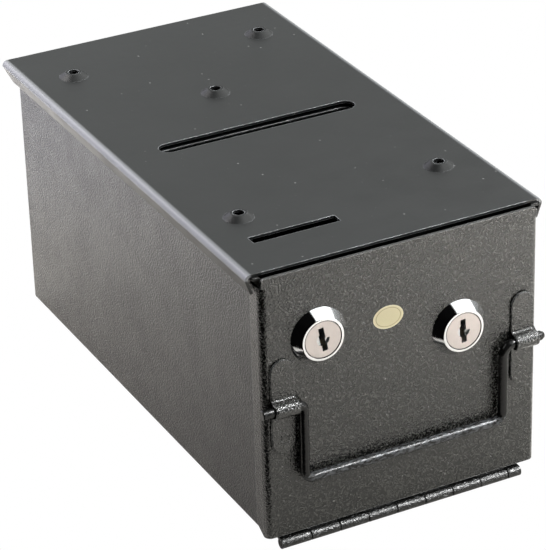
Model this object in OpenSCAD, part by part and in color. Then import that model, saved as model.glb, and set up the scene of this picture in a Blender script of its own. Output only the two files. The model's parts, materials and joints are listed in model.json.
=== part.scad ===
// Small lockable drop box of bent steel sheet.
// Origin at the centre of the flat underside, +Z up, the hinged door at -Y.

/* [Body] */
// Width over the two side walls
body_w = 118.8; // [100:0.1:160]
// Depth of the walls from the front edge to the back panel
body_l = 227.4; // [180:0.1:300]
// Height from the underside to the top of the turned-out lips
body_h = 115; // [105:0.1:160]
// Thickness of the steel sheet
sheet = 1.2; // [0.9:0.1:1.4]
// Outer radius of the two long bends at the bottom
body_bend_r = 2.5; // [1.8:0.1:4]
// How far the top lips reach out from the walls
lip_reach = 2.9; // [2.6:0.1:3]
// Inner radius of the lips' bend
lip_bend_in = 1; // [0.5:0.1:1.4]
// Depth of the back panel's welded flanges
rear_flange = 11; // [6:0.5:20]

/* [Lid] */
// Setback of the lid's front edge behind the wall edges
lid_setback = 1.3; // [0.5:0.1:3]
// Overhang of the lid behind the back panel
lid_rear_over = 4.9; // [2:0.1:10]
// Reach of each side hook from the wall to its widest point
hook_reach = 5.3; // [5:0.1:7]
// Reach of the hook's lower end from the wall
hook_end_reach = 3.2; // [3:0.1:4]
// Height of each hook from the lid's top to its lower end
hook_h = 8.2; // [7:0.1:9.5]
// Outer radius of the hook's top bend
hook_bend_r = 2.3; // [1.8:0.1:3]

/* [Lid holes] */
// Distance from each wall's outer face to the end of the note slot
note_slot_side = 14.65; // [12:0.05:30]
// Width of the note slot
note_slot_w = 8.4; // [5:0.1:12]
// Distance of the note slot behind the middle of the walls
note_slot_off = 2.1; // [0:0.1:6]
// Left part of the latch slot, measured from the left lock's axis
latch_slot_left = 12.8; // [11:0.1:15]
// Right part of the latch slot, measured from the left lock's axis
latch_slot_right = 24.5; // [16:0.1:30]
// Width of the latch slot
latch_slot_w = 5.2; // [4.6:0.1:7]
// Distance from each wall's outer face to the raised corner holes
hole_side = 14.9; // [12:0.1:20]
// Distance from the walls' front edges back to the front pair of holes
hole_front = 45.9; // [40:0.1:50]
// Distance from the walls' back edges forward to the back pair of holes
hole_rear = 26.2; // [20:0.1:30]
// Place of the single middle hole between the note slot and the back pair
hole_mid_share = 0.4555; // [0.42:0.0005:0.6]
// Radius of each hole through the lid
hole_r = 2.25; // [1.5:0.05:3]
// Base radius of the raised rim around a hole
rim_base_r = 6.2; // [5.5:0.1:8]
// Top radius of the raised rim
rim_top_r = 3.4; // [3.2:0.1:5]
// Height of the raised rim
rim_h = 2.1; // [1:0.1:2.4]

/* [Slot guard] */
// Gap between the lid's underside and the guard plate
guard_gap = 1.7; // [1.4:0.1:3]
// Thickness of the guard plate
guard_t = 1; // [0.8:0.1:1.2]
// Margin of the guard plate around the note slot
guard_margin = 8; // [6:0.5:10]
// Depth of the welding flanges at the guard's front and back
guard_flange = 7; // [5:0.5:9]

/* [Door] */
// Side clearance between the walls and the door's flanges
door_side_gap = 0.2; // [0.1:0.05:0.3]
// Depth of the door's side flanges behind its front face
door_flange = 8.5; // [6:0.1:12]
// Outer radius of the door's two long bends
door_bend_r = 2.8; // [2:0.1:3.2]
// Height of the door's lower edge above the underside
door_low = 1.1; // [0.8:0.1:2]
// Height of the flat strip above the side flanges
door_strip_h = 4; // [3.5:0.1:6]
// Corner radius of the flat strip
door_strip_r = 1.2; // [0.6:0.1:2]
// Height of the slanted cut at the flanges' lower corners
door_slant_h = 3.4; // [2:0.1:6]

/* [Hinge] */
// Outer radius of the hinge barrel
barrel_r = 2.2; // [2:0.1:2.6]
// Radius of the hinge pin
pin_r = 1.2; // [0.9:0.05:1.25]
// Thickness of the hinge leaves
leaf_t = 1; // [0.8:0.1:1.1]
// Distance from the left wall's outer face to the hinge's left end
hinge_left_side = 4.2; // [2.5:0.1:7]
// Distance from the right wall's outer face to the hinge's right end
hinge_right_side = 5.9; // [2.5:0.1:8]
// Length of the hinge's first knuckle
knuckle_first = 13; // [12:0.1:16]
// Spacing of the other knuckle joints
knuckle_pitch = 12.8; // [12:0.05:13]
// Width of the leaf under the floor
leaf_floor_w = 17; // [12:0.5:25]
// Height of the leaf behind the door
leaf_door_h = 14; // [10:0.5:20]

/* [Locks] */
// Distance from the left wall's outer face to the left lock's axis
left_lock_side = 22.8; // [22:0.1:25]
// Distance from the walls' top down to the left lock's axis
left_lock_down = 29.6; // [28:0.1:31]
// Distance from the right wall's outer face to the right lock's axis
right_lock_side = 34.5; // [34.2:0.1:36]
// Distance from the walls' top down to the right lock's axis
right_lock_down = 43.2; // [39:0.1:49]
// Length of the lock's barrel behind the door's front face
lock_l = 26.7; // [22:0.1:30]
// Outer radius of the lock's threaded barrel
lock_r = 9.5; // [9:0.1:10]
// Width of the barrel across its two flats
lock_flats = 16; // [15:0.1:17]
// Radius of the bezel where it meets the door
bezel_base_r = 11.9; // [11:0.1:13]
// Radius of the bezel at its front rim
bezel_rim_r = 8.9; // [8.5:0.1:9.8]
// Height of the bezel
bezel_h = 4.2; // [3.5:0.1:5]
// Radius of the plug's face
plug_face_r = 7.7; // [7.2:0.1:8]
// Radius of the plug's core
plug_r = 6.2; // [6:0.05:6.6]
// Running clearance of the turning parts, on the radius
run_gap = 0.05; // [0.02:0.01:0.1]
// Width of the key slot
key_slot_w = 2.2; // [1.8:0.1:2.4]
// Height of the key slot
key_slot_h = 10.2; // [9:0.1:10.8]
// Radius of the round recess in the plug's face
key_round_r = 2.7; // [2.2:0.1:3.2]
// Thickness of a wafer
wafer_t = 0.9; // [0.6:0.05:1.2]
// Number of wafers in each plug
wafer_count = 5; // [3:1:6]
// Width across the lock nut's flats
nut_flats = 24; // [22:0.5:26]
// Thickness of the lock nut
nut_t = 3; // [2:0.1:4]
// Reach of the cam from the lock's axis to its tip
cam_reach = 32.1; // [31:0.1:32.6]
// Radius of the cam's round tip
cam_tip_r = 11.3; // [9:0.1:11.6]
// Thickness of the cam
cam_t = 2; // [1.5:0.1:2.4]
// Lean of the left keyway from upright, in degrees
left_key_lean = 11; // [0:1:15]
// Lean of the right keyway from upright, in degrees
right_key_lean = 4; // [0:1:15]
// Lean of the left cam from upright, in degrees
left_cam_lean = 6; // [0:1:8]

/* [Bail handle] */
// Radius of the handle's wire
wire_r = 2; // [1.6:0.1:2.2]
// Gap between the wire and the door's face
wire_off = 0.8; // [0.5:0.1:1.5]
// Distance from the walls' top down to the handle's swing axis
bail_down = 55.8; // [55:0.1:59]
// Drop from the swing axis to the middle of the handle's bar
bail_drop = 33.4; // [25:0.1:35]
// Distance from the middle of the left clip in to the handle's left leg
bail_left_in = 7.6; // [7.5:0.1:9]
// Distance from the middle of the right clip in to the handle's right leg
bail_right_in = 9.9; // [8:0.1:12]
// How far the wire's left end stands out past the door's side
bail_left_out = 2.1; // [0.5:0.1:3]
// How far the wire's right end stands out past the door's side
bail_right_out = 1.5; // [0.5:0.1:3]
// Middle radius of the two lower bends
bail_low_bend = 4; // [3:0.1:6]
// Distance from the left wall's outer face to the middle of the left clip
clip_left_side = 6.7; // [5.8:0.1:8]
// Distance from the right wall's outer face to the middle of the right clip
clip_right_side = 5.7; // [5.6:0.1:8]
// Width of each clip
clip_w = 10.5; // [9:0.1:11]
// Length of each clip
clip_l = 41; // [30:0.5:46]
// Thickness of each clip
clip_t = 1.1; // [0.8:0.1:1.2]

/* [Sticker] */
// Width of the blank oval sticker
sticker_w = 13.2; // [10:0.1:18]
// Height of the blank oval sticker
sticker_h = 9.8; // [8:0.1:12]
// Place of the sticker from the middle of the door
sticker_x = -6.3; // [-10:0.1:-2]
// Distance from the walls' top down to the sticker's middle
sticker_down = 30.2; // [25:0.1:35]
// Thickness of the sticker
sticker_t = 0.15; // [0.1:0.05:0.3]

/* [Keeper] */
// Width of the keeper's catch across the box
keeper_reach = 8; // [6:0.1:10]
// Height of the keeper
keeper_h = 20; // [14:0.5:26]
// Depth of the keeper's leg along the wall
keeper_leg = 12; // [8:0.5:16]
// Thickness of the keeper
keeper_t = 1.5; // [1.2:0.1:2]
// Gap between the keeper and the thrown cam
keeper_gap = 0.8; // [0.4:0.1:1.5]

/* [Hidden] */

// Facets of round shapes
round_fn = 64;
// Radius over a hexagon's corners, as a share of its width across flats
hex_corner_share = 0.5 / cos(30);
// Overrun of every cut
over = 0.5;

// Walls and floor
wall_x = body_w / 2;
inner_x = wall_x - sheet;
front_y = -body_l / 2;
rear_y = body_l / 2;
lip_x = wall_x + lip_reach;

// Lid
lid_low = body_h;
lid_top = body_h + sheet;
lid_front_y = front_y + lid_setback;
lid_l = body_l - lid_setback + lid_rear_over;
hook_x = wall_x + hook_reach;
hook_end_x = wall_x + hook_end_reach;
hook_end_z = lid_top - hook_h;
hook_cut = hook_h - hook_bend_r;
note_slot_l = body_w - 2 * note_slot_side;
note_y = note_slot_off;
hole_x = wall_x - hole_side;
hole_front_y = front_y + hole_front;
hole_rear_y = rear_y - hole_rear;
hole_places = [[-hole_x, hole_front_y], [hole_x, hole_front_y],
    [-hole_x, hole_rear_y], [hole_x, hole_rear_y],
    [0, note_y + hole_mid_share * (hole_rear_y - note_y)]];

// Hinge, with its pin below and in front of the floor's edge
leaf_gap = 0.3;
knuckle_gap = 0.4;
// Shortest last knuckle, as a share of the spacing
last_knuckle_share = 0.2;
pin_y = front_y - leaf_gap - barrel_r;
pin_z = -barrel_r;
hinge_l = body_w - hinge_left_side - hinge_right_side;
hinge_left = hinge_left_side - wall_x;
knuckle_count = 1 + ceil((hinge_l - knuckle_first) / knuckle_pitch - last_knuckle_share);
function knuckle_edge(i) = i <= 0 ? hinge_left
    : i >= knuckle_count ? hinge_left + hinge_l
    : hinge_left + knuckle_first + (i - 1) * knuckle_pitch;

// Door
door_back_y = front_y - leaf_gap - leaf_t;
door_y = door_back_y - sheet;
door_x = wall_x + door_side_gap + sheet;
door_top = body_h;
strip_inset = 1;

// Locks, seen as [place across, height]
left_lock_x = left_lock_side - wall_x;
right_lock_x = wall_x - right_lock_side;
right_lock_z = body_h - right_lock_down;
left_lock = [left_lock_x, body_h - left_lock_down];
right_lock = [right_lock_x, right_lock_z];
barrel_end_y = door_y + lock_l;
washer_t = 0.8;
washer_y = barrel_end_y + run_gap;
cam_y = washer_y + washer_t;
cam_end_y = cam_y + cam_t;
tail_w = 7.6;
tail_gap = 0.1;
face_recess = 0.2;
face_t = 1.6;
groove_w = 0.12;
hub_r = 9.6;
screw_r = 1.9;
screw_head_r = 4.6;
screw_head_h = 2;
screw_l = 9;
door_hole_gap = 0.15;
round_recess = 1;
wafer_w = 3.6;
wafer_h = 10.8;
wafer_window_h = 6;
wafer_gap = 0.1;
key_depth = lock_l - face_t;
wafer_first = face_t + bezel_h;
wafer_pitch = (key_depth - wafer_first) / wafer_count;

// Handle, its axis in front of the door's face
bail_y = door_y - wire_off - wire_r;
bail_z = body_h - bail_down;
wire_gap = 0.1;
clip_in_r = wire_r + wire_gap;
clip_out_r = clip_in_r + clip_t;
clip_fillet = 1;
bail_bar_z = bail_z - bail_drop;
clip_left_x = clip_left_side - wall_x;
clip_right_x = wall_x - clip_right_side;
bail_left_x = clip_left_x + bail_left_in;
bail_right_x = clip_right_x - bail_right_in;
bend_margin = 0.05;
bend_left_r = bail_left_in - clip_w / 2 - bend_margin;
bend_right_r = bail_right_in - clip_w / 2 - bend_margin;
wire_taper_l = 1.6;
wire_taper_share = 0.6;
wire_taper_r = wire_r * wire_taper_share;

// Keeper, with its catch in front of the thrown right cam
keeper_y = cam_y - keeper_gap - keeper_t;

// Extrudes a section drawn across and up, from y0 back over l
module along_y(y0, l) {
    translate([0, y0 + l, 0]) rotate([90, 0, 0]) linear_extrude(l) children();
}

// Turns a shape drawn about +Z to point along +Y at a place on the door
module at_lock(place, y0) {
    translate([place[0], y0, place[1]]) rotate([-90, 0, 0]) children();
}

// Rectangle with two round lower corners
module round_bottom(w, z0, z1, r) {
    translate([-w / 2, z0 + r]) square([w, z1 - z0 - r]);
    translate([r - w / 2, z0]) square([w - 2 * r, z1 - z0]);
    for (side = [-1, 1]) translate([side * (w / 2 - r), z0 + r]) circle(r = r, $fn = round_fn);
}

// Quarter of a ring, from the +X axis turned by a
module quarter_ring(r_out, t, a) {
    rotate(a) intersection() {
        difference() {
            circle(r = r_out, $fn = round_fn);
            circle(r = r_out - t, $fn = round_fn);
        }
        square([r_out, r_out]);
    }
}

module lip_section() {
    r = lip_bend_in + sheet;
    translate([wall_x + lip_bend_in, body_h - r]) quarter_ring(r, sheet, 90);
    translate([wall_x + lip_bend_in, body_h - sheet]) square([lip_reach - lip_bend_in, sheet]);
}

module body_shell() {
    r = lip_bend_in + sheet;
    color([0.33, 0.33, 0.32]) along_y(front_y, body_l) {
        difference() {
            round_bottom(body_w, 0, body_h - r, body_bend_r);
            round_bottom(body_w - 2 * sheet, sheet, body_h, body_bend_r - sheet);
        }
        lip_section();
        mirror([1, 0]) lip_section();
    }
}

// Back panel with flanges welded to the walls, the floor and the lid
module rear_panel() {
    w = body_w - 2 * sheet;
    r = body_bend_r - sheet;
    color([0.3, 0.3, 0.29]) difference() {
        along_y(rear_y - rear_flange, rear_flange) round_bottom(w, sheet, body_h, r);
        along_y(rear_y - rear_flange - over, rear_flange - sheet + over)
            round_bottom(w - 2 * sheet, 2 * sheet, body_h - sheet, r);
    }
}

// Right half of the lid's section with its hook
module hook_section() {
    bend_x = hook_x - hook_bend_r;
    bend_z = lid_top - hook_bend_r;
    translate([0, lid_low]) square([bend_x, sheet]);
    translate([bend_x, bend_z]) quarter_ring(hook_bend_r, sheet, 0);
    polygon([[hook_x - sheet, bend_z], [hook_x, bend_z], [hook_end_x, hook_end_z],
        [hook_end_x - sheet, hook_end_z]]);
}

// Slanted cut at the back lower corner of a hook
module hook_corner(side) {
    w = hook_reach - hook_end_reach + sheet + 2 * over;
    y1 = rear_y + lid_rear_over;
    translate([side * (hook_x + over - w / 2), 0, 0]) rotate([90, 0, 90])
        linear_extrude(w, center = true) polygon([[y1 - hook_cut - over, hook_end_z - over],
            [y1 + over, hook_end_z - over], [y1 + over, hook_end_z + hook_cut + over]]);
}

module hole_rims(drop) {
    for (p = hole_places) translate([p[0], p[1], lid_top - drop])
        cylinder(h = rim_h, r1 = rim_base_r, r2 = rim_top_r, $fn = round_fn);
}

// Slot with round ends through the sheets at the note slot
module note_slot(z0, h, grow) {
    r = note_slot_w / 2 + grow;
    span = note_slot_l / 2 - note_slot_w / 2;
    translate([-span, note_y - r, z0]) cube([2 * span, 2 * r, h]);
    for (side = [-1, 1]) translate([side * span, note_y, z0])
        cylinder(h = h, r = r, $fn = round_fn);
}

module lid() {
    cut_z = hook_end_z;
    cut_h = hook_h + rim_h + over;
    color([0.35, 0.36, 0.36]) difference() {
        union() {
            along_y(lid_front_y, lid_l) {
                hook_section();
                mirror([1, 0]) hook_section();
            }
            hole_rims(0);
        }
        hole_rims(sheet);
        for (p = hole_places) translate([p[0], p[1], cut_z])
            cylinder(h = cut_h, r = hole_r, $fn = round_fn);
        note_slot(cut_z, cut_h, 0);
        for (side = [-1, 1]) hook_corner(side);
        translate([left_lock_x - latch_slot_left, cam_y + cam_t / 2 - latch_slot_w / 2, cut_z])
            cube([latch_slot_left + latch_slot_right, latch_slot_w, cut_h]);
    }
}

// Plate under the note slot, stepped up to the lid at its front and back
module slot_guard() {
    half_w = note_slot_l / 2 + guard_margin;
    half_d = note_slot_w / 2 + guard_margin;
    plate_z = lid_low - guard_gap - guard_t;
    color([0.28, 0.28, 0.27]) difference() {
        union() {
            translate([-half_w, note_y - half_d, plate_z]) cube([2 * half_w, 2 * half_d, guard_t]);
            for (side = [-1, 1]) {
                web_y = note_y + side * (half_d - guard_t / 2) - guard_t / 2;
                flange_y = side > 0 ? note_y + half_d - guard_t : note_y - half_d - guard_flange;
                translate([-half_w, web_y, plate_z]) cube([2 * half_w, guard_t, guard_gap + guard_t]);
                translate([-half_w, flange_y, lid_low - guard_t])
                    cube([2 * half_w, guard_flange + guard_t, guard_t]);
            }
        }
        note_slot(plate_z - over, guard_t + guard_gap + over, 0);
    }
}

// Angle on the right wall that the right cam swings behind
module latch_keeper() {
    z0 = right_lock_z - keeper_h / 2;
    color([0.3, 0.3, 0.29]) union() {
        translate([inner_x - keeper_reach, keeper_y, z0]) cube([keeper_reach, keeper_t, keeper_h]);
        translate([inner_x - keeper_t, keeper_y - keeper_leg, z0])
            cube([keeper_t, keeper_leg + keeper_t, keeper_h]);
    }
}

// Hinge knuckles with every second one left out, and the tabs that carry them
module knuckles(first) {
    for (i = [first:2:knuckle_count - 1]) {
        x0 = knuckle_edge(i) + (i > 0 ? knuckle_gap / 2 : 0);
        x1 = knuckle_edge(i + 1) - (i < knuckle_count - 1 ? knuckle_gap / 2 : 0);
        translate([x0, pin_y, pin_z]) rotate([0, 90, 0])
            cylinder(h = x1 - x0, r = barrel_r, $fn = round_fn);
        knuckle_tab(x0, x1 - x0, first);
    }
}

module knuckle_tab(x0, w, on_door) {
    if (on_door == 1) translate([x0, door_back_y, pin_z]) cube([w, leaf_t, barrel_r + leaf_gap]);
    else translate([x0, pin_y, -leaf_t]) cube([w, front_y - pin_y + leaf_gap, leaf_t]);
}

module pin_bore() {
    translate([hinge_left - over, pin_y, pin_z]) rotate([0, 90, 0])
        cylinder(h = hinge_l + 2 * over, r = pin_r + run_gap, $fn = round_fn);
}

module hinge_leaf_body() {
    color([0.4, 0.4, 0.39]) difference() {
        union() {
            knuckles(0);
            translate([hinge_left, front_y + leaf_gap / 2, -leaf_t])
                cube([hinge_l, leaf_floor_w, leaf_t]);
        }
        pin_bore();
    }
}

module hinge_leaf_door() {
    color([0.4, 0.4, 0.39]) difference() {
        union() {
            knuckles(1);
            translate([hinge_left, door_back_y, leaf_gap]) cube([hinge_l, leaf_t, leaf_door_h]);
        }
        pin_bore();
    }
}

module hinge_pin() {
    color([0.6, 0.6, 0.6]) translate([hinge_left, pin_y, pin_z]) rotate([0, 90, 0])
        cylinder(h = hinge_l, r = pin_r, $fn = round_fn);
}

// Right half of the door's plan section
module door_half_plan() {
    translate([0, door_y]) square([door_x - door_bend_r, sheet]);
    translate([door_x - door_bend_r, door_y + door_bend_r]) quarter_ring(door_bend_r, sheet, -90);
    translate([door_x - sheet, door_y + door_bend_r]) square([sheet, door_flange - door_bend_r]);
}

// Flat strip above the flanges, with round upper corners
module door_strip() {
    half_w = door_x - strip_inset;
    flat_w = door_x - door_bend_r;
    z0 = door_top - door_strip_h;
    translate([0, door_y + sheet, 0]) rotate([90, 0, 0]) linear_extrude(sheet) {
        translate([-flat_w, z0 - over]) square([2 * flat_w, 2 * over]);
        translate([-half_w, z0]) square([2 * half_w, door_strip_h - door_strip_r]);
        translate([door_strip_r - half_w, z0]) square([2 * (half_w - door_strip_r), door_strip_h]);
        for (side = [-1, 1]) translate([side * (half_w - door_strip_r), door_top - door_strip_r])
            circle(r = door_strip_r, $fn = round_fn);
    }
}

// Threaded barrel's outline with its two flats
module barrel_outline(r, flats) {
    intersection() {
        circle(r = r, $fn = round_fn);
        square([2 * r, flats], center = true);
    }
}

module door_panel() {
    flange_y = door_y + door_flange;
    color([0.31, 0.31, 0.3]) difference() {
        union() {
            translate([0, 0, door_low]) linear_extrude(door_top - door_strip_h - door_low) {
                door_half_plan();
                mirror([1, 0]) door_half_plan();
            }
            door_strip();
        }
        for (place = [left_lock, right_lock]) at_lock(place, door_y - over)
            linear_extrude(sheet + 2 * over)
                barrel_outline(lock_r + door_hole_gap, lock_flats + 2 * door_hole_gap);
        for (side = [-1, 1]) translate([side * (door_x - sheet / 2), 0, 0]) rotate([90, 0, 90])
            linear_extrude(sheet + 2 * over, center = true)
                polygon([[door_y + door_bend_r, door_low - over], [door_y + door_bend_r, door_low],
                    [flange_y, door_low + door_slant_h], [flange_y + over, door_low + door_slant_h],
                    [flange_y + over, door_low - over]]);
    }
}

// Section of a clip's arch, drawn as [depth, height] about the wire
module arch_ring(r) {
    depth = door_y - bail_y;
    intersection() {
        circle(r = r, $fn = round_fn);
        translate([-r, -r]) square([r + depth, 2 * r]);
    }
    translate([0, -r]) square([depth, 2 * r]);
}

module bail_clip(x) {
    end_r = clip_w / 2;
    reach = clip_l / 2 - end_r;
    color([0.3, 0.3, 0.29]) difference() {
        union() {
            translate([x, door_y, bail_z]) rotate([90, 0, 0]) linear_extrude(clip_t) {
                square([clip_w, 2 * reach], center = true);
                for (side = [-1, 1]) translate([0, side * reach]) circle(r = end_r, $fn = round_fn);
            }
            translate([x, bail_y, bail_z]) rotate([90, 0, 90])
                linear_extrude(clip_w, center = true) arch_ring(clip_out_r);
            for (side = [-1, 1]) clip_crease(x, side);
        }
        translate([x, bail_y, bail_z]) rotate([90, 0, 90])
            linear_extrude(clip_w + 2 * over, center = true) arch_ring(clip_in_r);
    }
}

// Hollow fillet where the strip turns out into the arch
module clip_crease(x, side) {
    translate([x, door_y - clip_t, bail_z + side * clip_out_r]) rotate([90, 0, 90])
        linear_extrude(clip_w, center = true) difference() {
            translate([-clip_fillet, side > 0 ? 0 : -clip_fillet]) square([clip_fillet, clip_fillet]);
            translate([-clip_fillet, side * clip_fillet]) circle(r = clip_fillet, $fn = round_fn);
        }
}

// Straight stretch of wire along X or Z from a corner point
module wire_x(x0, x1, z) {
    translate([x0, bail_y, z]) rotate([0, 90, 0]) cylinder(h = x1 - x0, r = wire_r, $fn = round_fn);
}

module wire_z(x, z0, z1) {
    translate([x, bail_y, z0]) cylinder(h = z1 - z0, r = wire_r, $fn = round_fn);
}

// Quarter bend of the wire about a centre, starting at angle a in the plane of the door
module wire_bend(x, z, r, a) {
    translate([x, bail_y, z]) rotate([90, 0, 0]) rotate(a) rotate_extrude(angle = 90, $fn = round_fn)
        translate([r, 0]) circle(r = wire_r, $fn = round_fn);
}

module bail_handle() {
    left_x = bail_left_x - bend_left_r;
    right_x = bail_right_x + bend_right_r;
    end_x = door_x + bail_right_out - wire_taper_l;
    low_z = bail_bar_z + bail_low_bend;
    color([0.3, 0.3, 0.29]) union() {
        wire_x(-door_x - bail_left_out, left_x, bail_z);
        wire_x(right_x, end_x, bail_z);
        translate([end_x, bail_y, bail_z]) rotate([0, 90, 0])
            cylinder(h = wire_taper_l, r1 = wire_r, r2 = wire_taper_r, $fn = round_fn);
        wire_bend(left_x, bail_z - bend_left_r, bend_left_r, 0);
        wire_bend(right_x, bail_z - bend_right_r, bend_right_r, 90);
        wire_z(bail_left_x, low_z, bail_z - bend_left_r);
        wire_z(bail_right_x, low_z, bail_z - bend_right_r);
        wire_bend(bail_left_x + bail_low_bend, low_z, bail_low_bend, 180);
        wire_bend(bail_right_x - bail_low_bend, low_z, bail_low_bend, 270);
        wire_x(bail_left_x + bail_low_bend, bail_right_x - bail_low_bend, bail_bar_z);
    }
}

// Lock housing: bezel, threaded barrel with two flats, and the plug's bore
module lock_body(place) {
    color([0.85, 0.85, 0.86]) difference() {
        union() {
            at_lock(place, door_y - bezel_h) cylinder(h = bezel_h, r1 = bezel_rim_r, r2 = bezel_base_r,
                $fn = round_fn);
            at_lock(place, door_y) linear_extrude(lock_l) barrel_outline(lock_r, lock_flats);
        }
        at_lock(place, door_y - bezel_h - over) cylinder(h = lock_l + bezel_h + 2 * over,
            r = plug_r + run_gap, $fn = round_fn);
        at_lock(place, door_y - bezel_h - over) cylinder(h = face_recess + face_t + over + run_gap,
            r = plug_face_r + groove_w, $fn = round_fn);
    }
}

module lock_nut(place) {
    color([0.7, 0.7, 0.68]) at_lock(place, door_back_y) difference() {
        cylinder(h = nut_t, r = nut_flats * hex_corner_share, $fn = 6);
        translate([0, 0, -over]) linear_extrude(nut_t + 2 * over)
            barrel_outline(lock_r + run_gap, lock_flats + 2 * run_gap);
    }
}

// Key slot with its shallow round recess, upright along Z before it leans
module keyway() {
    cube_h = key_depth + over;
    translate([-key_slot_w / 2, -key_slot_h / 2, -over]) cube([key_slot_w, key_slot_h, cube_h]);
    translate([0, 0, -over]) difference() {
        cylinder(h = round_recess + over, r = key_round_r, $fn = round_fn);
        translate([0, -key_round_r - over, -over])
            cube([key_round_r + over, key_round_r + over, round_recess + 3 * over]);
    }
}

module wafer_slots() {
    for (i = [0:wafer_count - 1]) translate([0, 0, wafer_first + i * wafer_pitch])
        cube_about(wafer_w + 2 * wafer_gap, wafer_h + 2 * wafer_gap, wafer_t + 2 * wafer_gap);
}

module cube_about(w, h, t) {
    translate([-w / 2, -h / 2, -t / 2]) cube([w, h, t]);
}

module lock_plug(place, key_lean) {
    face_y = door_y - bezel_h + face_recess;
    core_l = barrel_end_y - face_y;
    color([0.82, 0.78, 0.74]) at_lock(place, face_y) rotate(-key_lean) difference() {
        union() {
            cylinder(h = face_t, r = plug_face_r, $fn = round_fn);
            cylinder(h = core_l, r = plug_r, $fn = round_fn);
            translate([0, 0, core_l + (cam_end_y - barrel_end_y) / 2])
                cube_about(tail_w, tail_w, cam_end_y - barrel_end_y);
        }
        keyway();
        wafer_slots();
        translate([0, 0, core_l + cam_end_y - barrel_end_y - screw_l])
            cylinder(h = screw_l + over, r = screw_r + run_gap, $fn = round_fn);
    }
}

module lock_wafers(place, key_lean) {
    face_y = door_y - bezel_h + face_recess;
    color([0.78, 0.62, 0.3]) at_lock(place, face_y) rotate(-key_lean)
        for (i = [0:wafer_count - 1]) translate([0, 0, wafer_first + i * wafer_pitch]) difference() {
            cube_about(wafer_w, wafer_h, wafer_t);
            cube_about(key_slot_w, wafer_window_h, wafer_t + over);
        }
}

module lock_stop_washer(place, key_lean) {
    color([0.75, 0.75, 0.74]) at_lock(place, washer_y) rotate(-key_lean) difference() {
        cylinder(h = washer_t, r = hub_r, $fn = round_fn);
        translate([0, 0, washer_t / 2])
            cube_about(tail_w + 2 * tail_gap, tail_w + 2 * tail_gap, washer_t + over);
    }
}

// Flat cam with a round hub and a round tip, hanging down at rest
module lock_cam(place, lean, key_lean) {
    tip = cam_reach - cam_tip_r;
    color([0.78, 0.78, 0.78]) at_lock(place, cam_y) difference() {
        rotate(-lean) union() {
            cylinder(h = cam_t, r = hub_r, $fn = round_fn);
            translate([0, tip, 0]) cylinder(h = cam_t, r = cam_tip_r, $fn = round_fn);
            linear_extrude(cam_t) polygon([[-hub_r, 0], [-cam_tip_r, tip], [cam_tip_r, tip], [hub_r, 0]]);
        }
        rotate(-key_lean) translate([0, 0, cam_t / 2])
            cube_about(tail_w + 2 * tail_gap, tail_w + 2 * tail_gap, cam_t + over);
    }
}

module lock_cam_screw(place) {
    color([0.7, 0.7, 0.7]) at_lock(place, cam_end_y) difference() {
        union() {
            cylinder(h = screw_head_h, r = screw_head_r, $fn = round_fn);
            translate([0, 0, -screw_l]) cylinder(h = screw_l, r = screw_r, $fn = round_fn);
        }
        translate([0, 0, screw_head_h]) cube_about(2 * screw_head_r + over, wafer_t, screw_head_h);
    }
}

module door_sticker() {
    steps = 60;
    color([0.9, 0.86, 0.6]) translate([sticker_x, door_y, body_h - sticker_down]) rotate([90, 0, 0])
        linear_extrude(sticker_t)
            polygon([for (i = [0:steps - 1]) let (a = i * 360 / steps)
                [sticker_w / 2 * cos(a), sticker_h / 2 * sin(a)]]);
}

body_shell();
rear_panel();
lid();
slot_guard();
latch_keeper();
hinge_leaf_body();
hinge_pin();
door_panel();
hinge_leaf_door();
bail_clip(clip_left_x);  // bail_clip_left
bail_clip(clip_right_x);  // bail_clip_right
bail_handle();
lock_body(left_lock);  // left_lock_body
lock_nut(left_lock);  // left_lock_nut
lock_plug(left_lock, left_key_lean);  // left_lock_plug
lock_wafers(left_lock, left_key_lean);  // left_lock_wafers
lock_stop_washer(left_lock, left_key_lean);  // left_lock_stop_washer
lock_cam(left_lock, left_cam_lean, left_key_lean);  // left_lock_cam
lock_cam_screw(left_lock);  // left_lock_cam_screw
lock_body(right_lock);  // right_lock_body
lock_nut(right_lock);  // right_lock_nut
lock_plug(right_lock, right_key_lean);  // right_lock_plug
lock_wafers(right_lock, right_key_lean);  // right_lock_wafers
lock_stop_washer(right_lock, right_key_lean);  // right_lock_stop_washer
lock_cam(right_lock, 0, right_key_lean);  // right_lock_cam
lock_cam_screw(right_lock);  // right_lock_cam_screw
door_sticker();
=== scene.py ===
import json
import math

import bmesh
import bpy
from mathutils import Matrix, Vector

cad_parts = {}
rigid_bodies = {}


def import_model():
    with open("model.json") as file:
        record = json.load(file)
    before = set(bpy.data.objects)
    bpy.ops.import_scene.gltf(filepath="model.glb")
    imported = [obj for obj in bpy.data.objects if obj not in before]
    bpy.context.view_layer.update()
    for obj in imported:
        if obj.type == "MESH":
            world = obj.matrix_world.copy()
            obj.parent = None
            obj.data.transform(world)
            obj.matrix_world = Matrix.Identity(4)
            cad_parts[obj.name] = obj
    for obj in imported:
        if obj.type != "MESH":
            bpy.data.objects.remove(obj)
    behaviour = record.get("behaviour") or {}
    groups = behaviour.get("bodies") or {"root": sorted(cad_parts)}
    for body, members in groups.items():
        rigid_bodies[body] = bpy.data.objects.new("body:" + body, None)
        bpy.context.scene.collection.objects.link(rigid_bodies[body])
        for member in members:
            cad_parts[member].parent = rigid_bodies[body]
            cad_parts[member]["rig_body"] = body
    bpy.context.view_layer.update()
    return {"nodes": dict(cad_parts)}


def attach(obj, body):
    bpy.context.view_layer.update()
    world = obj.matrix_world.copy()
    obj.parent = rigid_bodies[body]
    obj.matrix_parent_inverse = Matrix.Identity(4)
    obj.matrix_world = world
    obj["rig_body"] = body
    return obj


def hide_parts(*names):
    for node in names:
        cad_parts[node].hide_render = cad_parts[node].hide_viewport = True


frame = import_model()

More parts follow.
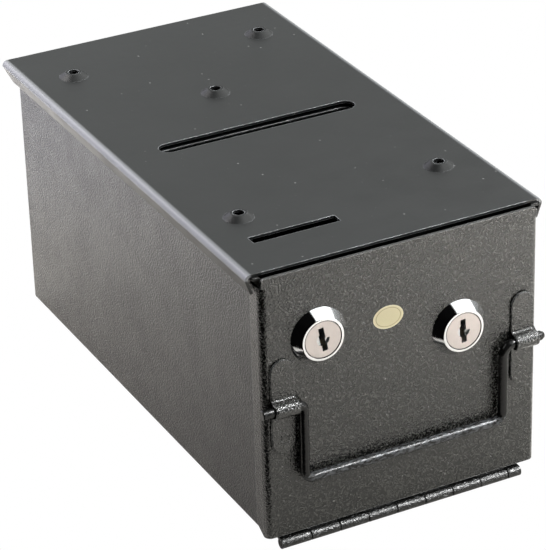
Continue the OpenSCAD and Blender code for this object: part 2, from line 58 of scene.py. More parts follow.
# places on the part, in metres in the shared frame
MM = 0.001
DOOR_Y = -0.1162  # the door's outer face
DOOR_TOP_Z = 0.105  # the door's top edge lies above this
FLANGE_X = 0.0595  # the door's side flanges lie outside this
CLIP_FACE_Y = -0.1168  # the clips' outer faces lie in front of this
WELD_X, WELD_Z = 0.0523, 0.04505  # middle of the spot weld in each clip
WALL_INSIDE_X = 0.0584  # the walls' inner faces lie inside this
FLOOR_INSIDE_Z = 0.001  # and above this
REAR_INSIDE_Y = 0.1135  # all of the rear panel but its outer face lies in front of this
LID_TOP = 0.1162
UNDERSIDE_X = 0.06  # the undersides of lid and floor lie inside this
HOOK_X, HOOK_Z = 0.0598, 0.114  # the lid's hooks lie outside and below this
BEND_X, BEND_Z = (0.0616, 0.063), (0.1134, 0.1144)  # the painted sheen on the bend above them fades in here
LID_PALE_EDGE_X = 0.058  # the lid's cut edges are painted paler inside this, partly wear and partly a painted highlight
HOLE_X, FRONT_HOLE_Y, BACK_HOLE_Y = 0.0445, -0.0678, 0.0875  # the lid's four corner holes
MIDDLE_HOLE_Y = 0.041
HOLES = [(-HOLE_X, FRONT_HOLE_Y), (HOLE_X, FRONT_HOLE_Y), (-HOLE_X, BACK_HOLE_Y),
         (HOLE_X, BACK_HOLE_Y), (0, MIDDLE_HOLE_Y)]
LEFT_LOCK, RIGHT_LOCK = (-0.0366, 0.0854), (0.0249, 0.0718)  # x and z of their axes
BETWEEN_LOCKS_X = -0.006
PLUG_EDGE = 0.00778  # radius of the gap between plug and bezel
PLUG_FACE_OUT = 0.0036  # the plugs' faces stand further than this in front of the door
BAR_Z = 0.0258  # middle of the handle's bar
STICKER = (-0.0063, 0.0848, 0.0066, 0.0049)  # x and z of its middle, half width, half height
BARREL, BACK_EDGE = (-0.1162, -0.0044), (0.1137, 0.0)  # y and z of what the box stands on

SHARP_ANGLE = 30  # edges that turn by more degrees than this are rounded
SMOOTH_ANGLE = 35  # afterwards, edges that turn by fewer are shaded smooth


# ---------------------------------------------------------------- camera
SENSOR = 36.0
FOCAL_PIXELS, PICTURE_HEIGHT = 2840.12, 550


def make_camera():
    """The camera that was fitted to the photograph."""
    right = Vector((0.88601, -0.46288, -0.02693))
    down = Vector((-0.23781, -0.4038, -0.88339))
    ahead = Vector((0.39803, 0.7891, -0.46786))
    data = bpy.data.cameras.new("camera")
    data.sensor_width = SENSOR
    data.sensor_fit = "AUTO"
    data.lens = SENSOR * FOCAL_PIXELS / PICTURE_HEIGHT
    data.clip_start, data.clip_end = 0.05, 20
    cam = bpy.data.objects.new("camera", data)
    bpy.context.scene.collection.objects.link(cam)
    m = Matrix((right, -down, -ahead)).transposed().to_4x4()
    m.translation = (-0.47238, -0.94389, 0.60668)
    cam.matrix_world = m
    bpy.context.scene.camera = cam


make_camera()


# ---------------------------------------------------------------- node helpers
def clean_tree(owner):
    """The emptied node tree of a material or a world."""
    owner.use_nodes = True
    owner.node_tree.nodes.clear()
    return owner.node_tree


class Tree:
    """A node tree with short calls: values are sockets or constants."""

    def __init__(self, tree):
        self.t = tree

    def add(self, kind, ins=None, **props):
        n = self.t.nodes.new(kind)
        for k, v in props.items():
            setattr(n, k, v)
        for k, v in (ins or {}).items():
            self.put(n.inputs[k], v)
        return n

    def put(self, socket, v):
        if isinstance(v, bpy.types.NodeSocket):
            self.t.links.new(v, socket)
        else:
            socket.default_value = v

    def math(self, op, a, b=0.0, c=0.0):
        n = self.add("ShaderNodeMath", operation=op)
        for i, v in enumerate((a, b, c)):
            self.put(n.inputs[i], v)
        return n.outputs[0]

    def vmath(self, op, a, b=(0, 0, 0), out=0):
        n = self.add("ShaderNodeVectorMath", operation=op)
        self.put(n.inputs[0], a)
        self.put(n.inputs[1], b)
        return n.outputs[out]

    def ramp(self, v, lo, hi, a=0.0, b=1.0):
        """Goes softly from a to b while v goes from lo to hi."""
        n = self.add("ShaderNodeMapRange", interpolation_type="SMOOTHSTEP")
        for i, x in enumerate((v, lo, hi, a, b)):
            self.put(n.inputs[i], x)
        return n.outputs[0]

    def mix(self, f, a, b):
        n = self.add("ShaderNodeMix", data_type="RGBA")
        self.put(n.inputs[0], f)
        self.put(n.inputs[6], a)
        self.put(n.inputs[7], b)
        return n.outputs[2]

    def noise(self, vec, scale, detail=3, rough=0.55):
        return self.add("ShaderNodeTexNoise", {"Vector": vec, "Scale": scale, "Detail": detail,
                                               "Roughness": rough}).outputs[0]

    def obj(self):
        return self.add("ShaderNodeTexCoord").outputs["Object"]

    def xyz(self, vec=None):
        return self.add("ShaderNodeSeparateXYZ", {"Vector": vec or self.obj()}).outputs

    def away(self, v, place):
        """How far v is from a place, either way."""
        return self.math("ABSOLUTE", self.math("SUBTRACT", v, place))

    def hypot(self, a, b):
        squares = [self.math("POWER", v, 2.0) for v in (a, b)]
        return self.math("SQRT", self.math("ADD", *squares))

    def by_ray(self, others, camera):
        """One shader for the camera's own rays, another for all others."""
        path = self.add("ShaderNodeLightPath").outputs["Is Camera Ray"]
        return self.add("ShaderNodeMixShader", {0: path, 1: others, 2: camera}).outputs[0]


def group(name, outs, build, ins=()):
    """A shader node group of numbers; build(tree, inputs) gives its outputs by name."""
    g = bpy.data.node_groups.new(name, "ShaderNodeTree")
    for n, value in ins:
        s = g.interface.new_socket(n, in_out="INPUT", socket_type="NodeSocketFloat")
        s.default_value = value
    for n in outs:
        g.interface.new_socket(n, in_out="OUTPUT", socket_type="NodeSocketFloat")
    t = Tree(g)
    gi = t.add("NodeGroupInput")
    go = t.add("NodeGroupOutput")
    for n, v in build(t, gi.outputs).items():
        t.put(go.inputs[n], v)
    return g


def hammer_build(t, i):
    """Hammer enamel: soft round pebbles just under 1 mm across, with finer orange peel on them."""
    p = t.obj()
    bend = t.add("ShaderNodeTexNoise", {"Vector": p, "Scale": 350.0, "Detail": 1.0}).outputs[1]
    shift = t.vmath("MULTIPLY", t.vmath("SUBTRACT", bend, (0.5,) * 3), (0.0006,) * 3)
    q = t.vmath("ADD", p, shift)
    pebble = t.noise(q, 1400.0, 1, 0.4)
    fine = t.noise(p, 2900.0, 2)
    h = t.math("ADD", t.ramp(pebble, 0.25, 0.75), t.math("MULTIPLY", fine, 0.22))
    # pale flecks: partly the enamel's own flakes, partly painted glints
    flecks_and_glints = t.ramp(t.noise(q, 1500.0, 1), 0.66, 0.78)
    return {"Height": h, "FlecksAndGlints": flecks_and_glints}


def patch_build(t, i):
    """Slow changes over a sheet, for colour and for gloss."""
    p = t.obj()
    a = t.noise(p, 14.0, 3)
    b = t.noise(p, 60.0, 4, 0.65)
    return {"Broad": t.ramp(a, 0.3, 0.7), "Close": t.ramp(b, 0.3, 0.7)}


def speck_build(t, i):
    """Sparse grains of dust under and on the paint, each its own size."""
    p = t.obj()
    v = t.add("ShaderNodeTexVoronoi", {"Vector": p, "Scale": i["Scale"], "Randomness": 1.0})
    draw = t.add("ShaderNodeSeparateColor", {"Color": v.outputs[1]}).outputs[0]
    pick = t.math("GREATER_THAN", draw, i["Rarity"])
    dot = t.ramp(v.outputs[0], 0.05, 0.13, 1.0, 0.0)
    return {"Mask": t.math("MULTIPLY", dot, pick)}


def edge_build(t, i):
    """The rounded edges, where the rounded normal parts from the flat one: the finishes paint
    wear, painted highlights and painted shade there.
    """
    n0 = t.add("ShaderNodeNewGeometry").outputs["True Normal"]
    n1 = t.add("ShaderNodeBevel", {"Radius": i["Width"]}, samples=4).outputs[0]
    d = t.vmath("DOT_PRODUCT", n0, n1, 1)
    rounded_edge = t.ramp(t.math("SUBTRACT", 1.0, d), 0.012, 0.16)
    rough = t.ramp(t.noise(t.obj(), 420.0, 3, 0.7), 0.34, 0.62)
    return {"Mask": t.math("MULTIPLY", rounded_edge, t.math("MULTIPLY_ADD", rough, 0.75, 0.25))}


HAMMER = group("hammer_enamel", ["Height", "FlecksAndGlints"], hammer_build)
PATCH = group("slow_patches", ["Broad", "Close"], patch_build)
SPECK = group("paint_dust", ["Mask"], speck_build, [("Scale", 200.0), ("Rarity", 0.8)])
EDGE = group("rounded_edge_mask", ["Mask"], edge_build, [("Width", 0.0006)])


class Mat(Tree):
    """A material with one Principled BSDF."""

    def __init__(self, name, **sockets):
        self.m = bpy.data.materials.new(name)
        super().__init__(clean_tree(self.m))
        self.s = self.add("ShaderNodeBsdfPrincipled")
        out = self.add("ShaderNodeOutputMaterial")
        self.t.links.new(self.s.outputs[0], out.inputs[0])
        self.set(**sockets)

    def set(self, **sockets):
        for k, v in sockets.items():
            self.put(self.s.inputs[k.replace("_", " ")], v)

    def use(self, g, **ins):
        n = self.add("ShaderNodeGroup")
        n.node_tree = g
        for k, v in ins.items():
            self.put(n.inputs[k], v)
        return n.outputs

    def bump(self, height, dist, strength=1.0, under=None):
        ins = {"Height": height, "Distance": dist, "Strength": strength}
        if under is not None:
            ins["Normal"] = under
        n = self.add("ShaderNodeBump", ins)
        self.set(Normal=n.outputs[0])
        return n.outputs[0]


def rgb(r, g, b):
    """sRGB 0..255 to a linear colour."""
    def linear(c):
        return ((c / 255 + 0.055) / 1.055) ** 2.4 if c > 10 else c / 255 / 12.92
    return (linear(r), linear(g), linear(b), 1)


NEAR_BLACK = (rgb(4, 4, 4), rgb(8, 8, 7))
SOFT_BLACK = (rgb(9, 9, 8), rgb(15, 15, 14))
CHROME_TINT = (0.74, 0.74, 0.75, 1)
WHITE = (1, 1, 1, 1)
# near-black for the painted shade in the gap round each plug
GAP_SHADE = (0.02, 0.018, 0.016, 1)


def hammertone(name, tones, depth, rough, gloss, wear_and_sheen=0.0, weld=False, grain=1.0):
    """Hammered black paint. depth is the pebbles' height in metres, wear_and_sheen is how much the
    edges wear down to the metal and are painted paler there, the paler paint partly wear and
    partly a painted highlight, and grain is how much paler the pebbles' tops are painted, a
    painted highlight."""
    m = Mat(name, Specular_IOR_Level=gloss)
    h, patch = m.use(HAMMER), m.use(PATCH)
    rounded_edge = m.use(EDGE, Width=0.0006)["Mask"]
    base = m.mix(patch["Broad"], *tones)
    # painted highlight: the pebbles' tops are painted paler, by grain, for the light on them
    base = m.mix(m.ramp(h["Height"], 0.45, 1.0, 0.0, grain), base, rgb(50, 50, 47))
    # pale flecks, partly the enamel's own flakes and partly painted glints
    base = m.mix(m.math("MULTIPLY", h["FlecksAndGlints"], 0.3), base, rgb(120, 119, 114))
    # the rounded edges are painted paler, partly wear and partly a painted highlight, and turn
    # metallic as the paint wears through
    edge = rgb(*(c + 110 * wear_and_sheen for c in (120, 121, 122)))
    base = m.mix(m.math("MULTIPLY", rounded_edge, 0.4 + 0.6 * wear_and_sheen), base, edge)
    if wear_and_sheen:
        m.set(Metallic=m.math("MULTIPLY", rounded_edge, wear_and_sheen))
    dust = m.use(SPECK, Scale=260.0, Rarity=0.86)["Mask"]
    m.set(Base_Color=m.mix(m.math("MULTIPLY", dust, 0.3), base, rgb(180, 180, 176)))
    m.set(Roughness=m.math("MULTIPLY_ADD", patch["Close"], 0.08, rough))
    under = None
    if weld:  # a shallow ring 3.6 mm across in each clip, the same on both
        x, y, z = m.xyz()
        inside = m.math("ABSOLUTE", x)
        r = m.hypot(m.math("SUBTRACT", inside, WELD_X), m.math("SUBTRACT", z, WELD_Z))
        r = m.math("ADD", r, m.math("MULTIPLY_ADD", m.noise(m.obj(), 700.0), 0.0016, -0.0008))
        ring = m.ramp(m.away(r, 0.0018), 0.0, 0.0006, 1.0, 0.0)
        front = m.math("LESS_THAN", y, CLIP_FACE_Y)
        under = m.bump(m.math("MULTIPLY", ring, front), 0.00012)
    m.bump(h["Height"], depth, 0.9, under)
    return m.m


def satin_lid(name, gloss):
    """Smooth satin black of the lid, with dust in it, paler cut edges that are partly wear and
    partly a painted highlight, and a painted sheen on the bends above the hooks.
    """
    m = Mat(name, Specular_IOR_Level=gloss)
    patch = m.use(PATCH)
    x, y, z = m.xyz()
    inside = m.math("ABSOLUTE", x)
    ends = m.math("MINIMUM", m.away(y, FRONT_HOLE_Y), m.away(y, BACK_HOLE_Y))
    corner = m.hypot(m.math("SUBTRACT", inside, HOLE_X), ends)
    middle = m.hypot(x, m.math("SUBTRACT", y, MIDDLE_HOLE_Y))
    # the raised rims of the holes are rougher, and end about 6 mm from their middles
    rim = m.ramp(m.math("MINIMUM", corner, middle), 0.0056, 0.0068, 1.0, 0.0)
    # painted sheen: the bends above the hooks are painted paler and metallic, for the light they
    # catch
    bend_sheen = m.math("MULTIPLY", m.ramp(inside, *BEND_X), m.ramp(z, *BEND_Z))
    edge = m.use(EDGE, Width=0.0006)["Mask"]
    rounded_edge = m.math("MULTIPLY", edge, m.math("LESS_THAN", inside, LID_PALE_EDGE_X))
    base = m.mix(patch["Broad"], rgb(18, 19, 19), rgb(24, 25, 25))
    dust = m.use(SPECK, Scale=260.0, Rarity=0.9)["Mask"]
    grain = m.use(SPECK, Scale=420.0, Rarity=0.9)["Mask"]
    base = m.mix(m.math("MULTIPLY", dust, 0.28), base, rgb(200, 200, 198))
    base = m.mix(m.math("MULTIPLY", grain, 0.12), base, rgb(190, 190, 188))
    # the cut edges and the bends are painted paler and metallic: partly wear and partly a painted
    # highlight on the edges, a painted sheen on the bends
    wear_and_sheen = m.math("MAXIMUM", rounded_edge, m.math("MULTIPLY", bend_sheen, 0.32))
    m.set(Base_Color=m.mix(wear_and_sheen, base, rgb(205, 207, 211)))
    m.set(Metallic=m.math("MULTIPLY", wear_and_sheen, 0.85))
    rough = m.math("MULTIPLY_ADD", patch["Close"], 0.07, 0.32)
    m.set(Roughness=m.math("MULTIPLY_ADD", rim, 0.12, rough))
    peel = m.noise(m.obj(), 1300.0, 2)
    low = m.noise(m.obj(), 90.0, 2)
    h = m.math("ADD", m.math("MULTIPLY", peel, 0.25), m.math("MULTIPLY", low, 0.5))
    m.bump(m.math("ADD", h, m.math("MULTIPLY", dust, 0.5)), 0.00006, 0.7)
    return m.m


def gloss_wire():
    """Glossy black of the handle, with paler metallic streaks along its bar, partly from hands
    taking hold and partly a painted highlight.
    """
    m = Mat("gloss_black", Specular_IOR_Level=0.35)
    patch = m.use(PATCH)
    peel = m.noise(m.obj(), 900.0, 3)
    chip = m.ramp(m.noise(m.obj(), 310.0, 4, 0.7), 0.68, 0.74)
    base = m.mix(patch["Broad"], rgb(8, 8, 8), rgb(13, 13, 12))
    bar = m.ramp(m.away(m.xyz()[2], BAR_Z), 0.002, 0.0028, 1.0, 0.0)
    long_grain = m.vmath("MULTIPLY", m.obj(), (0.5, 1.0, 1.0))
    # paler metallic streaks along the bar, partly rubbing by hands and partly a painted highlight
    rub_and_highlight = m.math("MULTIPLY", bar, m.ramp(m.noise(long_grain, 900.0, 3, 0.6), 0.4, 0.62))
    base = m.mix(m.math("MULTIPLY", chip, 0.25), base, rgb(120, 120, 118))
    m.set(Base_Color=m.mix(m.math("MULTIPLY", rub_and_highlight, 0.28), base, rgb(140, 142, 146)))
    m.set(Metallic=m.math("MULTIPLY", rub_and_highlight, 0.32))
    m.set(Roughness=m.math("MULTIPLY_ADD", patch["Close"], 0.08, 0.15))
    m.bump(m.math("ADD", peel, m.math("MULTIPLY", chip, -0.4)), 0.0002, 0.9)
    return m.m


def hinge_paint():
    """Black paint of the hinge, with paler metallic streaks on the knuckles, partly rubbing and
    partly a painted highlight, and painted shade on the rounded edges at the joints between them.
    """
    m = Mat("hinge_black", Specular_IOR_Level=0.75)
    h, patch = m.use(HAMMER), m.use(PATCH)
    rounded_edge = m.use(EDGE, Width=0.0005)["Mask"]
    long_grain = m.vmath("MULTIPLY", m.obj(), (1.0, 2.6, 2.6))
    # paler metallic streaks on the knuckles: partly rubbing, partly a painted highlight
    rub_and_highlight = m.ramp(m.noise(long_grain, 420.0, 4, 0.7), 0.58, 0.7)
    base = m.mix(patch["Broad"], rgb(11, 11, 11), rgb(17, 17, 16))
    base = m.mix(m.math("MULTIPLY", rub_and_highlight, 0.6), base, rgb(165, 166, 168))
    # painted shade: the rounded edges, mostly the knuckle ends at the joints, are painted
    # near-black and made rougher
    m.set(Base_Color=m.mix(m.math("MULTIPLY", rounded_edge, 0.9), base, rgb(6, 6, 6)))
    off_edge = m.math("SUBTRACT", 1.0, rounded_edge)
    m.set(Metallic=m.math("MULTIPLY", m.math("MULTIPLY", rub_and_highlight, 0.35), off_edge))
    rough = m.math("MULTIPLY_ADD", patch["Close"], 0.1, 0.18)
    m.set(Roughness=m.math("MULTIPLY_ADD", rounded_edge, 0.6, rough))
    m.bump(m.math("ADD", h["Height"], m.math("MULTIPLY", rub_and_highlight, -0.5)), 0.00011, 0.9)
    return m.m


def inner_paint():
    """Duller black of the inner faces."""
    m = Mat("inner_black", Specular_IOR_Level=0.4)
    h, patch = m.use(HAMMER), m.use(PATCH)
    dust = m.use(SPECK, Scale=180.0, Rarity=0.8)["Mask"]
    base = m.mix(patch["Broad"], rgb(26, 26, 26), rgb(34, 34, 33))
    m.set(Base_Color=m.mix(m.math("MULTIPLY", dust, 0.4), base, rgb(150, 148, 142)))
    m.set(Roughness=m.math("MULTIPLY_ADD", patch["Close"], 0.14, 0.44))
    m.bump(h["Height"], 0.00016, 0.7)
    return m.m


def polished(name, tint, rough, scratch, depth, rings=None):
    """Plated metal with fine scratches and a soft haze. rings is how close its turned rings lie
    about the axes of the locks, and brings a painted shade in the gap round each plug."""
    m = Mat(name, Metallic=1.0)
    patch = m.use(PATCH)
    lines = m.noise(m.vmath("MULTIPLY", m.obj(), (1.0, 1.0, 7.0)), 1400.0, 3, 0.6)
    haze = m.ramp(m.noise(m.obj(), 380.0, 4, 0.65), 0.4, 0.75)
    dulled = tuple(c * 0.72 for c in tint[:3]) + (1,)
    base = m.mix(m.math("MULTIPLY", haze, scratch), tint, dulled)
    hazy = m.math("MULTIPLY_ADD", haze, scratch * 0.25, rough)
    m.set(Roughness=m.math("ADD", hazy, m.math("MULTIPLY", patch["Close"], 0.03)))
    h = lines
    if rings:
        x, y, z = m.xyz()
        right = m.math("GREATER_THAN", x, BETWEEN_LOCKS_X)
        axis_x, axis_z = (m.math("MULTIPLY_ADD", right, there - here, here)
                          for here, there in zip(LEFT_LOCK, RIGHT_LOCK))
        r = m.hypot(m.math("SUBTRACT", x, axis_x), m.math("SUBTRACT", z, axis_z))
        turned = m.add("ShaderNodeTexNoise", {"W": m.math("MULTIPLY", r, rings), "Scale": 1.0,
                                              "Detail": 2.0}, noise_dimensions="1D").outputs[0]
        h = m.math("ADD", turned, m.math("MULTIPLY", lines, 0.3))
        # painted shade: a near-black ring where plug and bezel meet
        base = m.mix(m.ramp(m.away(r, PLUG_EDGE), 0.0001, 0.0003, 1.0, 0.0), base, GAP_SHADE)
    m.set(Base_Color=base)
    m.bump(h, depth, 0.8)
    return m.m


def threaded():
    """Zinc-cast lock barrel: plated thread of 1 mm pitch, in its bump."""
    m = Mat("zinc_thread", Metallic=1.0)
    y = m.xyz()[1]
    tooth = m.math("PINGPONG", m.math("MULTIPLY", y, 1000.0), 0.5)
    tooth = m.math("MULTIPLY", tooth, m.ramp(y, DOOR_Y + 0.0014, DOOR_Y + 0.0022))
    haze = m.ramp(m.noise(m.obj(), 260.0, 4), 0.35, 0.7)
    m.set(Base_Color=m.mix(haze, rgb(178, 178, 176), rgb(205, 205, 204)))
    m.set(Roughness=m.math("MULTIPLY_ADD", haze, 0.12, 0.24))
    m.bump(tooth, 0.0006, 0.9)
    return m.m


def sticker_mat():
    """Blank cream oval with one thin line inside its rim."""
    m = Mat("cream_sticker", Specular_IOR_Level=0.3)
    x, y, z = m.xyz()
    mid_x, mid_z, half_x, half_z = STICKER
    r = m.hypot(m.math("DIVIDE", m.math("SUBTRACT", x, mid_x), half_x),
                m.math("DIVIDE", m.math("SUBTRACT", z, mid_z), half_z))
    line = m.ramp(m.away(r, 0.81), 0.014, 0.032, 1.0, 0.0)
    rim = m.ramp(r, 0.9, 0.97)
    fibre = m.noise(m.obj(), 2200.0, 3)
    base = m.mix(fibre, rgb(196, 186, 151), rgb(204, 194, 159))
    base = m.mix(rim, base, rgb(215, 206, 175))
    m.set(Base_Color=m.mix(m.math("MULTIPLY", line, 0.62), base, rgb(92, 84, 52)))
    m.set(Roughness=m.math("MULTIPLY_ADD", fibre, 0.12, 0.36))
    m.bump(fibre, 0.00002, 0.5)
    return m.m


FINISH = {
    "door": hammertone("hammertone_black", NEAR_BLACK, 0.00016, 0.1, 0.79, wear_and_sheen=0.5),
    "flank": hammertone("hammertone_flank", NEAR_BLACK, 0.00015, 0.1, 0.45, wear_and_sheen=0.5),
    "clip": hammertone("hammertone_clip", NEAR_BLACK, 0.00015, 0.1, 0.85, wear_and_sheen=0.6, weld=True),
    "body": hammertone("hammertone_body", SOFT_BLACK, 0.00018, 0.28, 0.47, grain=0.45),
    "lid": satin_lid("satin_black", 0.5),
    "rim": satin_lid("satin_rim", 0.3),
    "hook": satin_lid("satin_hook", 0.28),
    "wire": gloss_wire(),
    "hinge": hinge_paint(),
    "inner": inner_paint(),
    "chrome": polished("chrome", CHROME_TINT, 0.04, 0.12, 0.000004, rings=9000.0),
    "nickel": polished("satin_nickel", rgb(190, 182, 179), 0.28, 0.15, 0.000004, rings=7000.0),
    "zinc": polished("zinc_steel", rgb(196, 198, 198), 0.26, 0.5, 0.00002),
    "pin": polished("oiled_steel", rgb(62, 61, 60), 0.3, 0.6, 0.00002),
    "brass": polished("brass", rgb(112, 100, 72), 0.35, 0.5, 0.00002),
    "thread": threaded(),
    "sticker": sticker_mat(),
}


# ---------------------------------------------------------------- geometry
def mesh_object(name, mesh):
    o = bpy.data.objects.new(name, mesh)
    bpy.context.scene.collection.objects.link(o)
    return o


def settle(o, finishes):
    """Applies all modifiers to a plain mesh and gives it its materials."""
    dg = bpy.context.evaluated_depsgraph_get()
    made = bpy.data.meshes.new_from_object(o.evaluated_get(dg), depsgraph=dg)
    o.modifiers.clear()
    o.data = made
    made.set_sharp_from_angle(angle=math.radians(SMOOTH_ANGLE))
    made.materials.clear()
    for name in finishes:
        made.materials.append(FINISH[name])


def edge_angle(e):
    return e.calc_face_angle(0.0) if len(e.link_faces) == 2 else 0.0


def dressed(node, name, width, finishes, segs=3, pick=None, paint=None):
    """A copy of a CAD node with its flat faces whole again and its edges rounded by width, in
    millimetres. pick(edge middle) gives an edge's share of the width, and paint(face centre,
    normal) the number of its finish."""
    src = frame["nodes"][node]
    bm = bmesh.new()
    bm.from_mesh(src.data)
    bmesh.ops.remove_doubles(bm, verts=bm.verts, dist=0.002 * MM)
    bmesh.ops.dissolve_limit(bm, angle_limit=math.radians(0.4), verts=bm.verts, edges=bm.edges)
    weights = bm.edges.layers.float
    layer = weights.get("bevel_weight_edge") or weights.new("bevel_weight_edge")
    for e in bm.edges:
        if edge_angle(e) > math.radians(SHARP_ANGLE):
            e[layer] = pick((e.verts[0].co + e.verts[1].co) / 2) if pick else 1.0
    mesh = bpy.data.meshes.new(name)
    bm.to_mesh(mesh)
    bm.free()
    for p in mesh.polygons:
        p.use_smooth = True
    o = mesh_object(name, mesh)
    b = o.modifiers.new("bevel", "BEVEL")
    b.width, b.segments, b.limit_method = width * MM, segs, "WEIGHT"
    b.offset_type, b.use_clamp_overlap = "OFFSET", True
    b.miter_outer = "MITER_ARC"
    w = o.modifiers.new("normals", "WEIGHTED_NORMAL")
    w.keep_sharp, w.weight = True, 60
    settle(o, finishes)
    if paint:
        for p in o.data.polygons:
            p.material_index = paint(p.center, p.normal)
    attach(o, src["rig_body"])
    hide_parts(node)


def near_hole(place, r0, r1):
    """Whether a place lies between two distances from the middle of a hole, in millimetres."""
    return any(r0 < math.hypot(place.x - x, place.y - y) / MM < r1 for x, y in HOLES)


def lid_pick(mid):
    if mid.z > LID_TOP - 0.1 * MM and near_hole(mid, 6.2, 7.4):
        return 1.0  # foot of a raised rim
    if mid.z > LID_TOP and near_hole(mid, 2.0, 3.9):
        return 0.28  # edge of a hole
    return 0.22


def lid_paint(c, n):
    """Main finish, underside, raised rims or hooks."""
    if n.z < -0.7 and abs(c.x) < UNDERSIDE_X:
        return 1
    if c.z > LID_TOP and near_hole(c, 0.0, 6.3):
        return 2
    return 3 if abs(c.x) > HOOK_X and c.z < HOOK_Z else 0


def shell_paint(c, n):
    """Hammered outside; plain on the inner faces and on the underside."""
    inside = abs(c.x) < WALL_INSIDE_X and c.z > FLOOR_INSIDE_Z and abs(n.y) < 0.5
    return int(inside or (n.z < -0.5 and abs(c.x) < UNDERSIDE_X))


def door_pick(mid):
    return 1.0 if mid.z > DOOR_TOP_Z and mid.y < DOOR_Y + 0.5 * MM else 0.5


def door_paint(c, n):
    """Main finish, inner faces, or the flanges' outer faces."""
    if c.y > DOOR_Y + MM and abs(c.x) < FLANGE_X:
        return 1
    return 2 if abs(n.x) > 0.97 else 0


dressed("lid", "lid_skin", 2.2, ["lid", "inner", "rim", "hook"], segs=4,
        pick=lid_pick, paint=lid_paint)
dressed("body_shell", "body_skin", 0.3, ["body", "inner"], paint=shell_paint)
dressed("rear_panel", "rear_skin", 0.3, ["body", "inner"],
        paint=lambda c, n: int(c.y < REAR_INSIDE_Y))
dressed("slot_guard", "guard_skin", 0.35, ["lid"])
dressed("latch_keeper", "keeper_skin", 0.25, ["inner"])
dressed("door_panel", "door_skin", 0.6, ["door", "inner", "flank"],
        pick=door_pick, paint=door_paint)
dressed("bail_clip_left", "clip_left_skin", 0.8, ["clip"])
dressed("bail_clip_right", "clip_right_skin", 0.8, ["clip"])
dressed("bail_handle", "handle_skin", 0.45, ["wire"])
dressed("hinge_leaf_body", "leaf_body_skin", 0.4, ["hinge"])
dressed("hinge_leaf_door", "leaf_door_skin", 0.4, ["hinge"])
dressed("hinge_pin", "pin_skin", 0.2, ["pin"])
dressed("door_sticker", "sticker_skin", 0.03, ["sticker"])
for side in ("left", "right"):
    dressed(side + "_lock_body", side + "_housing_skin", 0.22, ["chrome", "thread"],
            paint=lambda c, n: int(c.y > DOOR_Y + 0.1 * MM))
    dressed(side + "_lock_plug", side + "_plug_skin", 0.12, ["nickel", "zinc"],
            paint=lambda c, n: int(c.y > DOOR_Y - PLUG_FACE_OUT))
    dressed(side + "_lock_nut", side + "_nut_skin", 0.35, ["zinc"])
    dressed(side + "_lock_wafers", side + "_wafers_skin", 0.05, ["brass"])
    dressed(side + "_lock_stop_washer", side + "_washer_skin", 0.12, ["zinc"])
    dressed(side + "_lock_cam", side + "_cam_skin", 0.25, ["zinc"])
    dressed(side + "_lock_cam_screw", side + "_screw_skin", 0.3, ["zinc"])


# ---------------------------------------------------------------- room
def make_floor():
    """A pale floor that is white to the camera. It ends at the left front, as the dark band in
    the lock bezels shows."""
    outline = [(-0.062, -1.2), (1.5, -1.2), (1.5, 1.5), (-0.9, 1.5), (-0.9, 0.6),
               (-0.18, -0.123), (-0.1, -0.127), (-0.062, -0.131)]
    # the box stands on its hinge barrel and on its back edge, so the floor runs through both
    (barrel_y, barrel_z), (back_y, back_z) = BARREL, BACK_EDGE
    slope = (back_z - barrel_z) / (back_y - barrel_y)
    verts = [(x, y, barrel_z - 0.04 * MM + slope * (y - barrel_y)) for x, y in outline]
    mesh = bpy.data.meshes.new("floor")
    mesh.from_pydata(verts, [], [tuple(range(len(verts)))])
    floor = mesh_object("floor", mesh)
    mat = bpy.data.materials.new("pale_floor")
    m = Tree(clean_tree(mat))
    x, y, _ = m.xyz()
    front_y = -0.115  # just behind the door's face
    # cooler towards the back, painted light close next to the box where its shadow falls, and
    # painted shade in front of it, darkest near the box
    behind = m.ramp(y, 0.1, 0.3)
    beside = m.math("MULTIPLY", m.ramp(x, -0.12, -0.066), m.math("GREATER_THAN", y, front_y))
    before = m.math("MULTIPLY", m.ramp(y, -0.34, front_y), m.math("LESS_THAN", y, front_y))
    shade = m.mix(behind, (0.54, 0.52, 0.487, 1), (0.53, 0.535, 0.59, 1))
    shade = m.mix(beside, shade, (0.8, 0.77, 0.725, 1))
    shade = m.mix(before, shade, (0.44, 0.424, 0.397, 1))
    pale = m.add("ShaderNodeBsdfDiffuse", {"Color": shade}).outputs[0]
    white = m.add("ShaderNodeEmission", {"Color": WHITE, "Strength": 1.0}).outputs[0]
    m.add("ShaderNodeOutputMaterial", {0: m.by_ray(pale, white)})
    mesh.materials.append(mat)


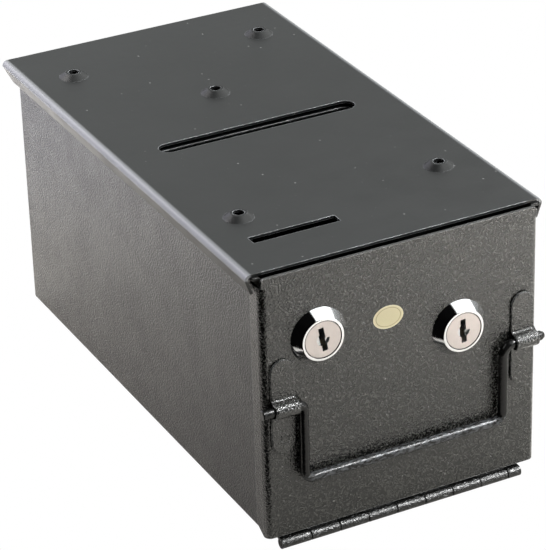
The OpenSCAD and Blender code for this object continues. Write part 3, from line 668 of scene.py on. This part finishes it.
def make_world():
    """White to the camera, and to all other rays a dark studio with one white wall at the right
    and a brighter screen behind at the left."""
    world = bpy.data.worlds.new("room")
    bpy.context.scene.world = world
    t = Tree(clean_tree(world))
    d = t.add("ShaderNodeTexCoord").outputs["Generated"]
    x, y, z = t.xyz(d)
    wall = t.ramp(t.vmath("DOT_PRODUCT", d, (0.93, 0.1, 0.35), 1), 0.22, 0.34)
    dim = t.ramp(x, 0.3, 0.6, 0.61, 0.39)  # what is left of the wall behind the box
    wall = t.math("MULTIPLY", wall, t.ramp(y, 0.3, 0.8, 1.0, dim))
    # the lid's left bend mirrors the screen
    left = t.ramp(x, -0.06, 0.12, 1.0, 0.0)
    low = t.ramp(z, 0.6, 0.72, 1.0, 0.0)
    screen = t.math("MULTIPLY", t.ramp(y, 0.6, 0.7), t.math("MULTIPLY", left, low))
    glow = t.math("MULTIPLY_ADD", screen, 1.5, t.ramp(z, 0.5, 0.75, 1.0, 1.7))
    tone = t.mix(screen, (1.05, 1.09, 1.075, 1), (1.0, 0.99, 1.12, 1))
    tone = t.mix(t.math("MAXIMUM", wall, screen), (0.002, 0.002, 0.002, 1), tone)
    room = t.add("ShaderNodeBackground", {"Color": tone, "Strength": glow}).outputs[0]
    white = t.add("ShaderNodeBackground", {"Color": WHITE, "Strength": 1.0}).outputs[0]
    t.add("ShaderNodeOutputWorld", {0: t.by_ray(room, white)})


def softbox(name, place, aim, size, power, colour=(1, 1, 1), spread=180):
    """A rectangular lamp; size in metres, power in watts, spread in degrees."""
    data = bpy.data.lights.new(name, "AREA")
    data.shape, data.size, data.size_y = "RECTANGLE", size[0], size[1]
    data.energy, data.color, data.spread = power, colour, math.radians(spread)
    o = bpy.data.objects.new(name, data)
    bpy.context.scene.collection.objects.link(o)
    o.location = place
    o.rotation_euler = (Vector(aim) - Vector(place)).to_track_quat("-Z", "Y").to_euler()


make_floor()
make_world()
softbox("right_box", (1.15, 0.35, 1.0), (0.05, -0.1, 0), (1.3, 1.3), 9)
softbox("front_pool", (0.36, -0.5, 0.34), (0.19, -0.35, 0), (0.2, 0.2), 0.8, spread=60)
softbox("glint", (0.4, -0.44, 0.24), (0.31, -0.36, 0), (0.1, 0.1), 0.9, spread=50)
softbox("left_pool", (-0.48, 0.4, 0.5), (-0.36, 0.36, 0), (0.4, 0.5), 5.05, (1.0, 0.98, 0.97), 95)
softbox("key", (0.48, -0.67, 1.0), (0, -0.1, 0.05), (0.12, 0.12), 9)
softbox("low_spark", (1.1, -1.1, 0.13), (0, -0.1, 0.06), (0.36, 0.14), 3)

bpy.context.scene.view_settings.view_transform = "Standard"
